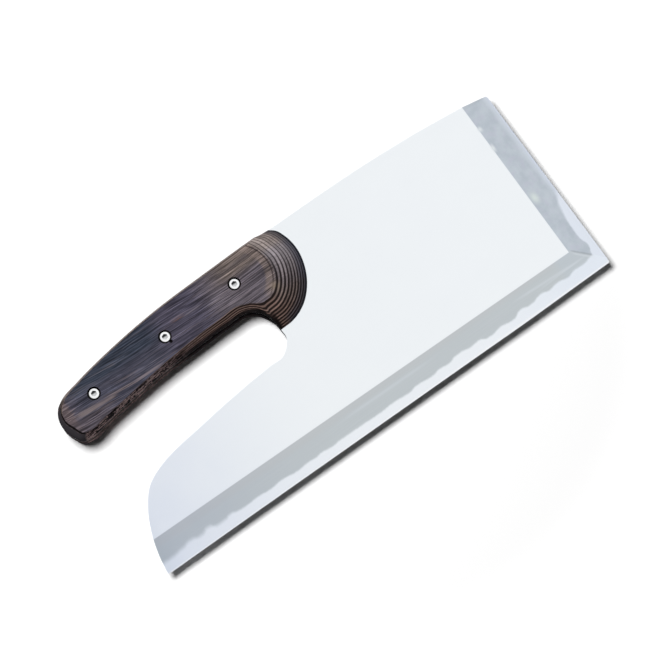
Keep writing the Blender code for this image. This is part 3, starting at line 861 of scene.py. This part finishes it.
class SteelPoint:
    """Which bevel or wall a point of the blade is on, and whether it is in the cladding."""

    def __init__(self, g):
        self.x, self.y = g.drawing()[:2]
        facing = g.normal("True Normal")
        self.spineward = facing["Y"]
        self.on_wall = g.ramp(g.size(facing["Z"]), 0.9, 0.2)
        self.on_back = g.ramp(facing["Z"], -0.3, -0.7)
        self.from_front = g.less(g.scaled(self.y, FRONT_LEAN / SPINE_HEIGHT, FRONT_FOOT * MM), self.x)
        across = [g.scaled(self.x, MITRE_ACROSS[0]), g.scaled(self.y, MITRE_ACROSS[1])]
        self.past_mitre = g.less(g.sum(*across), MITRE_PLACE)
        self.find_bevels(g)
        self.find_cladding(g)
        self.brush = g.blotches(self.x, self.y, 0.02, 2.4, detail=5, roughness=0.65)

    def find_bevels(self, g):
        width = g.scaled(self.x, EDGE_BEVEL_CHANGE / BLADE_LENGTH, EDGE_BEVEL_HEEL_WIDTH * MM)
        below_ridge = g.less(width, self.y)
        width = g.scaled(self.y, FRONT_BEVEL_CHANGE / SPINE_HEIGHT, FRONT_BEVEL_FOOT_WIDTH * MM)
        past_ridge = g.ramp(g.less(width, self.from_front), -0.3, 0.3)
        self.on_front = g.product(past_ridge, g.ramp(self.past_mitre, -0.3, 0.3))
        on_bevel = g.most(g.ramp(below_ridge, -0.35, 0.35), past_ridge)
        self.on_bevel = g.product(on_bevel, g.less(1, self.on_back))

    def find_cladding(self, g):
        """Inside both wavy borders, which are softer near the heel and the front."""
        wobble = g.scaled(g.blotches(self.x, self.y, 0.5, 0.5, detail=4, roughness=0.6), 0.8, -0.4)
        above = g.less(self.y, g.sum(g.curve(self.x, EDGE_LINE, EDGE_LINE_BOX), wobble))
        inside = g.less(self.from_front, g.sum(g.curve(self.y, FRONT_LINE, FRONT_LINE_BOX), wobble))
        softness = g.ramp(self.x, 30, 60, 1.9, 0.8)
        above = g.ramp(above, g.scaled(softness, -1), softness)
        outer, inner = g.ramp(self.y, 30, 42, -0.6, -1.5), g.ramp(self.y, 30, 42, 0.6, 1.2)
        self.clad = g.product(above, g.ramp(inside, outer, inner), self.on_bevel)


def flat_colour(g, x, y):
    haze = g.blotches(x, y, 0.05, 0.05)
    # Painted reflection: the flat darker and bluer towards the heel
    flat = g.zoned(x, y, FLAT_HEEL_SHADE, FLAT_SHADE_ZONES)
    return g.mix(g.ramp(haze, 0.3, 0.7, 0, 0.2), flat, FLAT_HAZE)


def hard_shade(g, steel):
    """What the bare hard steel makes of the flat's colour."""
    hard = g.mix(g.ramp(steel.x, 215, 290), HARD_HEEL, HARD_TIP)
    hard = g.mix(steel.on_front, hard, HARD_FRONT)
    return g.mix(g.product(steel.on_front, g.ramp(steel.y, 45, 52)), hard, HARD_FRONT_TOP)


def edge_clad_shade(g, steel):
    """The same for the satin cladding on the edge bevel."""
    x, y = steel.x, steel.y
    shade = g.mix(g.ramp(steel.brush, 0.3, 0.7), *EDGE_CLAD)
    shade = g.mix(g.zone(x, y, (276, 268), (13, 16.5), 0.6), shade, CLAD_UPPER)
    shade = g.mix(g.product(g.band(x, 276, 290, 6), 0.5), shade, CLAD_BLUISH)
    brushed = g.product(g.ramp(steel.brush, 0.6, 0.72), g.band(x, 232, 286, 14), 0.55)
    shade = g.mix(brushed, shade, CLAD_BRUSHED)
    for start, end, width, strength in BAND_STREAKS:
        shade = g.mix(g.product(g.streak(x, y, start, end, width), strength), shade, CLAD_STREAK)
    return shade


def front_clad_shade(g, steel):
    """The same on the front bevel, which is bluer and blotched."""
    x, y = steel.x, steel.y
    blotch = g.blotches(x, y, 0.16, 0.13, 7, 3, 0.6)
    mauve = g.blotches(x, y, 0.22, 0.2, 31, 2, 0.6)
    shade = g.mix(g.ramp(blotch, 0.3, 0.7), *FRONT_CLAD)
    shade = g.mix(g.ramp(mauve, 0.45, 0.7, 0, 0.5), shade, CLAD_MAUVE)
    outer = g.product(g.ramp(steel.from_front, 4.5, 1.5, 0, 0.7), g.ramp(y, 45, 60))
    return g.mix(outer, shade, CLAD_OUTER)


def blade_marks(g, steel, colour):
    """Painted shade and highlight along the mitre, the ridge's patches, painted shade along the spine and a
    painted highlight on the polished cutting edge.
    """
    x, y = steel.x, steel.y
    # Painted shade along the mitre's crease, and a painted highlight beside it
    dark = g.product(g.hump(steel.past_mitre, 0, 0.95), g.band(x, 285.5, 291.5, 2.5))
    colour = g.toned(colour, g.scaled(dark, -0.22, 1))
    light = g.product(g.hump(steel.past_mitre, -1.3, 0.9), g.band(x, 285.5, 292, 2.5), 0.35)
    colour = g.mix(light, colour, MITRE_HIGHLIGHT)
    for centre, reach, level in RIDGE_PATCHES:
        colour = g.mix(g.spot(x, y, centre, reach), colour, level)
    # Painted shade along the spine's edge
    spine_edge_shade = g.product(g.ramp(y, 115.4, 117), g.band(x, 284.5, 296, 1.5))
    colour = g.toned(colour, g.scaled(spine_edge_shade, -0.07, 1))
    # The polished cutting edge, with a painted highlight along it
    return g.mix(g.ramp(y, 0.9, 0.1, 0, 0.6), colour, EDGE_HIGHLIGHT)


def steel_material(name):
    """Bright satin flat, grey cladding on the bevels and hard steel along the edge."""
    g = Graph(bpy.data.materials.new(name))
    steel = SteelPoint(g)
    x, y = steel.x, steel.y
    flat = flat_colour(g, x, y)
    clad = g.mix(steel.on_front, edge_clad_shade(g, steel), front_clad_shade(g, steel))
    shade = g.mix(steel.clad, hard_shade(g, steel), clad)
    colour = g.mix(steel.on_bevel, flat, g.mix(1, flat, shade, "MULTIPLY"))
    colour = blade_marks(g, steel, colour)

    # Walls: darker ground steel with painted shade; the tang's wall under the grip is brown-grey by the
    # butt and painted near-black as shade towards the gap
    at_grip = g.product(g.zone(x, y, (132, 126), (66, 74)), g.ramp(steel.spineward, 0.7, 0.3))
    tang = g.mix(g.ramp(x, 80, 56), TANG_SHADE, TANG_GREY)
    colour = g.mix(steel.on_wall, colour, g.mix(at_grip, WALL_SHADED_GREY, tang))
    colour = g.mix(steel.on_back, colour, BACK_GREY)
    dull = g.product(steel.on_wall, g.scaled(at_grip, 0.45, 0.55))

    rough = g.ramp(steel.brush, 0.25, 0.75, 0.29, 0.34)
    rough = g.sum(rough, g.scaled(steel.clad, 0.08), g.scaled(steel.on_wall, 0.2))
    relief = g.bump(steel.brush, 0.00001)
    g.principled(colour, rough, Normal=relief, Metallic=g.less(1, dull), Specular_IOR_Level=0)
    return g.owner


def screw_material(name):
    """Polished stainless steel with faint turning rings, and a duller socket with painted light and shade
    in it.
    """
    g = Graph(bpy.data.materials.new(name))
    x, y, z = g.drawing()
    ring = g.noise(g.point(g.scaled(x, 4), g.scaled(y, 4), g.scaled(z, 14)), 3, 0.6)
    colour = g.mix(g.ramp(ring, 0.3, 0.7), *SCREW_STEEL)
    middle = (BLADE_BOTTOM + BLADE_TOP) * MM / 2
    head_top = (FRONT_FACE - HEAD_SINK) * MM - middle
    sunk = g.less(head_top, g.size(g.less(z, middle)))
    away, up = g.from_screw(x, y)
    in_socket = g.product(g.ramp(sunk, 0.05, 0.5), g.ramp(away, 2.3, 1.8))
    # Painted light and shade in the socket: lit towards the cutting edge, shaded towards the spine
    colour = g.mix(in_socket, colour, g.mix(g.ramp(up, -0.1, 0.9), *SOCKET_LIT_AND_SHADED))
    rough = g.sum(g.ramp(ring, 0.3, 0.7, 0.1, 0.2), g.scaled(in_socket, 0.25))
    g.principled(colour, rough, Normal=g.bump(ring, 0.000008), Metallic=1)
    return g.owner


def ridge_edge(x):
    return EDGE_BEVEL_HEEL_WIDTH + EDGE_BEVEL_CHANGE * x / BLADE_LENGTH


def front_edge(y):
    return FRONT_FOOT + FRONT_LEAN * y / SPINE_HEIGHT


def ridge_front(y):
    return front_edge(y) - (FRONT_BEVEL_FOOT_WIDTH + FRONT_BEVEL_CHANGE * y / SPINE_HEIGHT)


def blade_height(x, y):
    height = BLADE_TOP
    edge = ridge_edge(x)
    if y < edge:
        height = min(height, BLADE_TOP - EDGE_DROP * (edge - y) / edge)
    front = ridge_front(y)
    if x > front:
        height = min(height, BLADE_TOP - FRONT_DROP * (x - front) / (front_edge(y) - front))
    return height


def mitre_end():
    """Where the two bevels meet on the front edge."""
    y = ridge_edge(BLADE_LENGTH) * (1 - FRONT_DROP / EDGE_DROP)
    return (front_edge(y), y)


def ridge_corner():
    """Where the two bevels' inner lines meet."""
    y = ridge_edge(ridge_front(EDGE_BEVEL_TIP_WIDTH))
    return (ridge_front(y), y)


def score(builder, start, end):
    """Cuts the front face along an upright plane through two drawing points."""
    start, end = Vector((*start, 0)), Vector((*end, 0))
    across = Vector((end.y - start.y, start.x - end.x, 0)).normalized()
    geometry = builder.verts[:] + builder.edges[:] + builder.faces[:]
    bmesh.ops.bisect_plane(builder, geom=geometry, dist=WELD_REACH, plane_co=start, plane_no=across)


def make_blade_front(builder):
    """The front face, cut along its ridges and into a grid, at its own heights."""
    builder.faces.new([builder.verts.new((point.x, point.y, 0)) for point in blade_outline()])
    score(builder, (0, ridge_edge(0)), (BLADE_LENGTH, ridge_edge(BLADE_LENGTH)))
    score(builder, (ridge_front(0), 0), (ridge_front(SPINE_HEIGHT), SPINE_HEIGHT))
    score(builder, ridge_corner(), mitre_end())
    for step in range(1, BLADE_COLUMNS):
        x = BLADE_LENGTH * step / BLADE_COLUMNS
        score(builder, (x, 0), (x, SPINE_HEIGHT))
    for step in range(1, BLADE_ROWS):
        y = SPINE_HEIGHT * step / BLADE_ROWS
        score(builder, (0, y), (BLADE_LENGTH, y))
    for vertex in builder.verts:
        vertex.co.z = blade_height(vertex.co.x, vertex.co.y)


def close_blade(builder):
    """The walls down from the front face's rim, and the flat back."""
    rim = [edge for edge in builder.edges if edge.is_boundary]
    lower = {}
    for vertex in {vertex for edge in rim for vertex in edge.verts}:
        lower[vertex] = builder.verts.new((vertex.co.x, vertex.co.y, BLADE_BOTTOM))
    back = []
    for edge in rim:
        loop = edge.link_loops[0]
        first, second = loop.vert, loop.link_loop_next.vert
        builder.faces.new((second, first, lower[first], lower[second]))
        back.append(builder.edges.get((lower[first], lower[second])))
    bmesh.ops.contextual_create(builder, geom=back)


def make_blade():
    builder = bmesh.new()
    make_blade_front(builder)
    close_blade(builder)
    for vertex in builder.verts:
        vertex.co.x -= ORIGIN.x
        vertex.co.y -= ORIGIN.y
    blade = mesh_object("steel_blade", builder)
    low, high = -CUT_REACH, BLADE_TOP - BLADE_BOTTOM + CUT_REACH
    profile = ((0, low), (SLEEVE_HOLE_RADIUS, low), (SLEEVE_HOLE_RADIUS, high), (0, high))
    holes = []
    for number, place in enumerate(SCREW_PLACES, start=1):
        holes.append(turned(f"tang_cutter_{number}", profile, place, BLADE_BOTTOM, 1))
    cut(blade, holes)
    dress(blade, BLADE_CREASE, "blade", steel_material("blade_satin_steel"))


def grip_way(drop):
    """The way a side has come from the face to the rim at a depth, on the grip's round."""
    return 1 - (1 - min(drop / ROUND_DEPTH, 1)) ** ROUND_FULLNESS


def slope_way(drop):
    """The same on the long slope at the blade."""
    share = drop / SCALE_THICKNESS
    rounding = 1 - (1 - share) ** SLOPE_FULLNESS
    return SLOPE_STRAIGHTNESS * share + (1 - SLOPE_STRAIGHTNESS) * rounding


def scale_runs():
    """Round a scale: each face point, its rim point and how near the slope it is."""
    grip_rims = rim_run()[: (len(GRIP_ROWS) - 1) * RUN_STEPS + 1]
    grip_faces = smooth_run([from_spine(face) for rim, face in GRIP_ROWS], RUN_STEPS)
    front_rims = below_spine(smooth_run([from_spine(rim) for rim, face in FRONT_ROWS], RUN_STEPS))
    front_faces = smooth_run([from_spine(face) for rim, face in FRONT_ROWS], RUN_STEPS)
    runs = []
    last = len(grip_rims) - 1
    for index, (rim, face) in enumerate(zip(grip_rims, grip_faces)):
        nearness = max(0, 1 - min(index, last - index) / RUN_STEPS)
        runs.append((face, rim, nearness))
    for rim, face in list(zip(front_rims, front_faces))[1:-1]:
        runs.append((face, rim, 1.0))
    return runs


def scale_drops():
    """How far below the face each ring of a scale lies."""
    drops = list(FIRST_DROPS)
    for end, gap in ((ROUND_DEPTH, ROUND_DROP), (SCALE_THICKNESS, WALL_DROP)):
        first = round(drops[-1] / gap) + 1
        drops += [gap * step for step in range(first, round(end / gap) + 1)]
    return drops


def make_scale_block(name, face_height, side):
    builder = bmesh.new()
    runs = scale_runs()
    rings = []
    for drop in scale_drops():
        ring = []
        for face, rim, nearness in runs:
            way = grip_way(drop) * (1 - nearness) + slope_way(drop) * nearness
            ring.append(builder.verts.new(in_frame(face.lerp(rim, way), face_height - side * drop)))
        rings.append(ring)
    join_rings(builder, rings)
    builder.faces.new(rings[0])
    builder.faces.new(rings[-1])
    return mesh_object(name, builder)


def make_scale(end, face_height, side, hole_radius):
    """A scale with its counterbored holes, and the pit on the front one."""
    scale = make_scale_block(f"{end}_wood", face_height, side)
    through = -(SCALE_THICKNESS + CUT_REACH)
    profile = (
        (0, CUT_REACH),
        (COUNTERBORE_RADIUS + COUNTERBORE_EASE, CUT_REACH),
        (COUNTERBORE_RADIUS + COUNTERBORE_EASE, 0),
        (COUNTERBORE_RADIUS, -COUNTERBORE_EASE),
        (COUNTERBORE_RADIUS, -COUNTERBORE_DEPTH),
        (hole_radius, -COUNTERBORE_DEPTH),
        (hole_radius, through),
        (0, through),
    )
    cutters = []
    for number, place in enumerate(SCREW_PLACES, start=1):
        cutters.append(turned(f"{end}_cutter_{number}", profile, place, face_height, side))
    if side > 0:
        floor = PIT_RADIUS * PIT_TAPER
        profile = ((0, CUT_REACH), (PIT_RADIUS, CUT_REACH), (floor, -PIT_DEPTH), (0, -PIT_DEPTH))
        cutters.append(turned("pit_cutter", profile, pit_place(), face_height, side))
    cut(scale, cutters)
    material = wood_material(f"laminated_wood_{end}", face_height, side)
    dress(scale, WOOD_CREASE, f"{end}_scale", material)


def head_profile():
    centre = (HEAD_RADIUS - HEAD_ROUND, HEAD_HEIGHT - HEAD_ROUND)
    rim = [tuple(point) for point in arc(centre, HEAD_ROUND, 90, 0, HEAD_STEPS)]
    return [(0, HEAD_HEIGHT), *rim, (HEAD_RADIUS, 0)]


def cut_socket(item, place, seat, side):
    """A head's hexagon socket, with a drilled cone past its floor."""
    radius = SOCKET_WIDTH / math.sqrt(3)
    top, floor = HEAD_HEIGHT + HEAD_SINK + CUT_REACH, HEAD_HEIGHT - SOCKET_DEPTH
    profile = ((0, top), (radius, top), (radius, floor), (0, floor - (top - floor) * SOCKET_CONE))
    cut(item, [turned("socket_cutter", profile, place, seat, side, SOCKET_SIDES, SOCKET_TURN)])


def make_screw(number, place, material):
    """A socket-head screw from the front, down into its sleeve nut."""
    seat = FRONT_FACE - HEAD_SINK - HEAD_HEIGHT
    end = BLADE_TOP - SLEEVE_GAP - SHANK_GRIP - seat
    profile = [
        *head_profile(),
        (SHANK_RADIUS, 0),
        (SHANK_RADIUS, end + SHANK_CHAMFER),
        (SHANK_RADIUS - SHANK_CHAMFER, end),
        (0, end),
    ]
    screw = turned(f"socket_screw_{number}", profile, place, seat, 1)
    cut_socket(screw, place, seat, 1)
    dress(screw, SCREW_CREASE, f"handle_screw_{number}", material)


def make_nut(number, place, material):
    """A sleeve nut from the back, up through the tang."""
    seat = HEAD_SINK + HEAD_HEIGHT
    end = seat - (BLADE_TOP - SLEEVE_GAP)
    profile = [
        *head_profile(),
        (SLEEVE_RADIUS, 0),
        (SLEEVE_RADIUS, end),
        (SHANK_HOLE_RADIUS, end),
        (SHANK_HOLE_RADIUS, -SLEEVE_BORE_SINK),
        (0, -SLEEVE_BORE_SINK),
    ]
    nut = turned(f"sleeve_nut_piece_{number}", profile, place, seat, -1)
    cut_socket(nut, place, seat, -1)
    dress(nut, SCREW_CREASE, f"sleeve_nut_{number}", material)


def seen_or_mirrored(g):
    """1 for rays from the camera, mirrored or passed through, and 0 for others."""
    rays = g.add("ShaderNodeLightPath").outputs
    total = rays["Is Camera Ray"]
    for name in ("Is Glossy Ray", "Is Transmission Ray"):
        total = g.math("ADD", total, rays[name], use_clamp=True)
    return total


def make_floor():
    """A white floor that glows a little away from the knife when it is seen."""
    g = Graph(bpy.data.materials.new("floor_white"))
    place = g.add("ShaderNodeTexCoord").outputs["Object"]
    away = g.add("ShaderNodeVectorMath", {0: place}, operation="LENGTH").outputs["Value"]
    level = g.sum(*(g.ramp(away, *glow) for glow in FLOOR_GLOWS))
    glow = g.add("ShaderNodeEmission", {"Color": WHITE, "Strength": level}).outputs[0]
    lit = g.add("ShaderNodeBsdfDiffuse", {"Color": WHITE}).outputs[0]
    seen = g.add("ShaderNodeAddShader", {0: lit, 1: glow}).outputs[0]
    other = g.add("ShaderNodeBsdfDiffuse", {"Color": FLOOR_RETURN}).outputs[0]
    surface = g.add("ShaderNodeMixShader", {0: seen_or_mirrored(g), 1: other, 2: seen}).outputs[0]
    g.add("ShaderNodeOutputMaterial", {"Surface": surface})
    builder = bmesh.new()
    bmesh.ops.create_grid(builder, x_segments=1, y_segments=1, size=FLOOR_HALF)
    floor = mesh_object("floor", builder)
    floor.data.materials.append(g.owner)


def make_world():
    """A white backdrop, faint light all round, and a darker room in the mirror image."""
    g = Graph(bpy.data.worlds.new("studio"))
    bpy.context.scene.world = g.owner
    direction = g.add("ShaderNodeTexCoord").outputs["Generated"]
    parts = g.add("ShaderNodeSeparateXYZ", {0: direction}).outputs
    room = g.product(g.ramp(parts["Y"], *ROOM_BY_SIDE), g.ramp(parts["X"], *ROOM_BY_HEEL))
    to_camera = g.add("ShaderNodeLightPath").outputs["Is Camera Ray"]
    strength = g.sum(g.product(to_camera, g.less(1.0, room)), room)
    backdrop = g.add("ShaderNodeBackground", {"Color": WHITE, "Strength": strength}).outputs[0]
    ambient = g.add("ShaderNodeBackground", {"Color": WHITE, "Strength": AMBIENT_LEVEL}).outputs[0]
    surface = g.add("ShaderNodeMixShader", {0: seen_or_mirrored(g), 1: ambient, 2: backdrop}).outputs[0]
    g.add("ShaderNodeOutputWorld", {"Surface": surface})


def placed(item, place, right, back):
    """Links an object and sets its place and its own X and Z axes."""
    back = back.normalized()
    right = (right - back * right.dot(back)).normalized()
    turn = Matrix((right, back.cross(right), back)).transposed()
    item.matrix_world = Matrix.Translation(place) @ turn.to_4x4()
    bpy.context.scene.collection.objects.link(item)


def make_key():
    """A soft oblong lamp above the butt and the spine."""
    light = bpy.data.lights.new("key", "AREA")
    light.shape = "RECTANGLE"
    light.size, light.size_y = KEY_SIZE
    light.energy = KEY_WATTS
    lamp = bpy.data.objects.new("key", light)
    lamp.visible_glossy = False
    placed(lamp, KEY_PLACE, Vector((1, 0, 0)), KEY_PLACE - KEY_AIM)


def make_camera():
    data = bpy.data.cameras.new("camera")
    data.sensor_width = SENSOR_WIDTH
    data.lens = LENS
    data.clip_start, data.clip_end = VIEW_CLIP
    camera = bpy.data.objects.new("camera", data)
    target = Vector(in_frame(VIEW_TARGET, BLADE_TOP))
    back = -VIEW_DIRECTION.normalized()
    placed(camera, target + back * VIEW_DISTANCE, VIEW_RIGHT, back)
    bpy.context.scene.camera = camera


make_blade()
make_scale("front", FRONT_FACE, 1, SHANK_HOLE_RADIUS)
make_scale("back", 0.0, -1, SLEEVE_HOLE_RADIUS)
screw_steel = screw_material("polished_screw_steel")
for screw_number, screw_place in enumerate(SCREW_PLACES, start=1):
    make_screw(screw_number, screw_place, screw_steel)
    make_nut(screw_number, screw_place, screw_steel)
make_floor()
make_world()
make_key()
make_camera()
bpy.context.scene.view_settings.view_transform = "Standard"
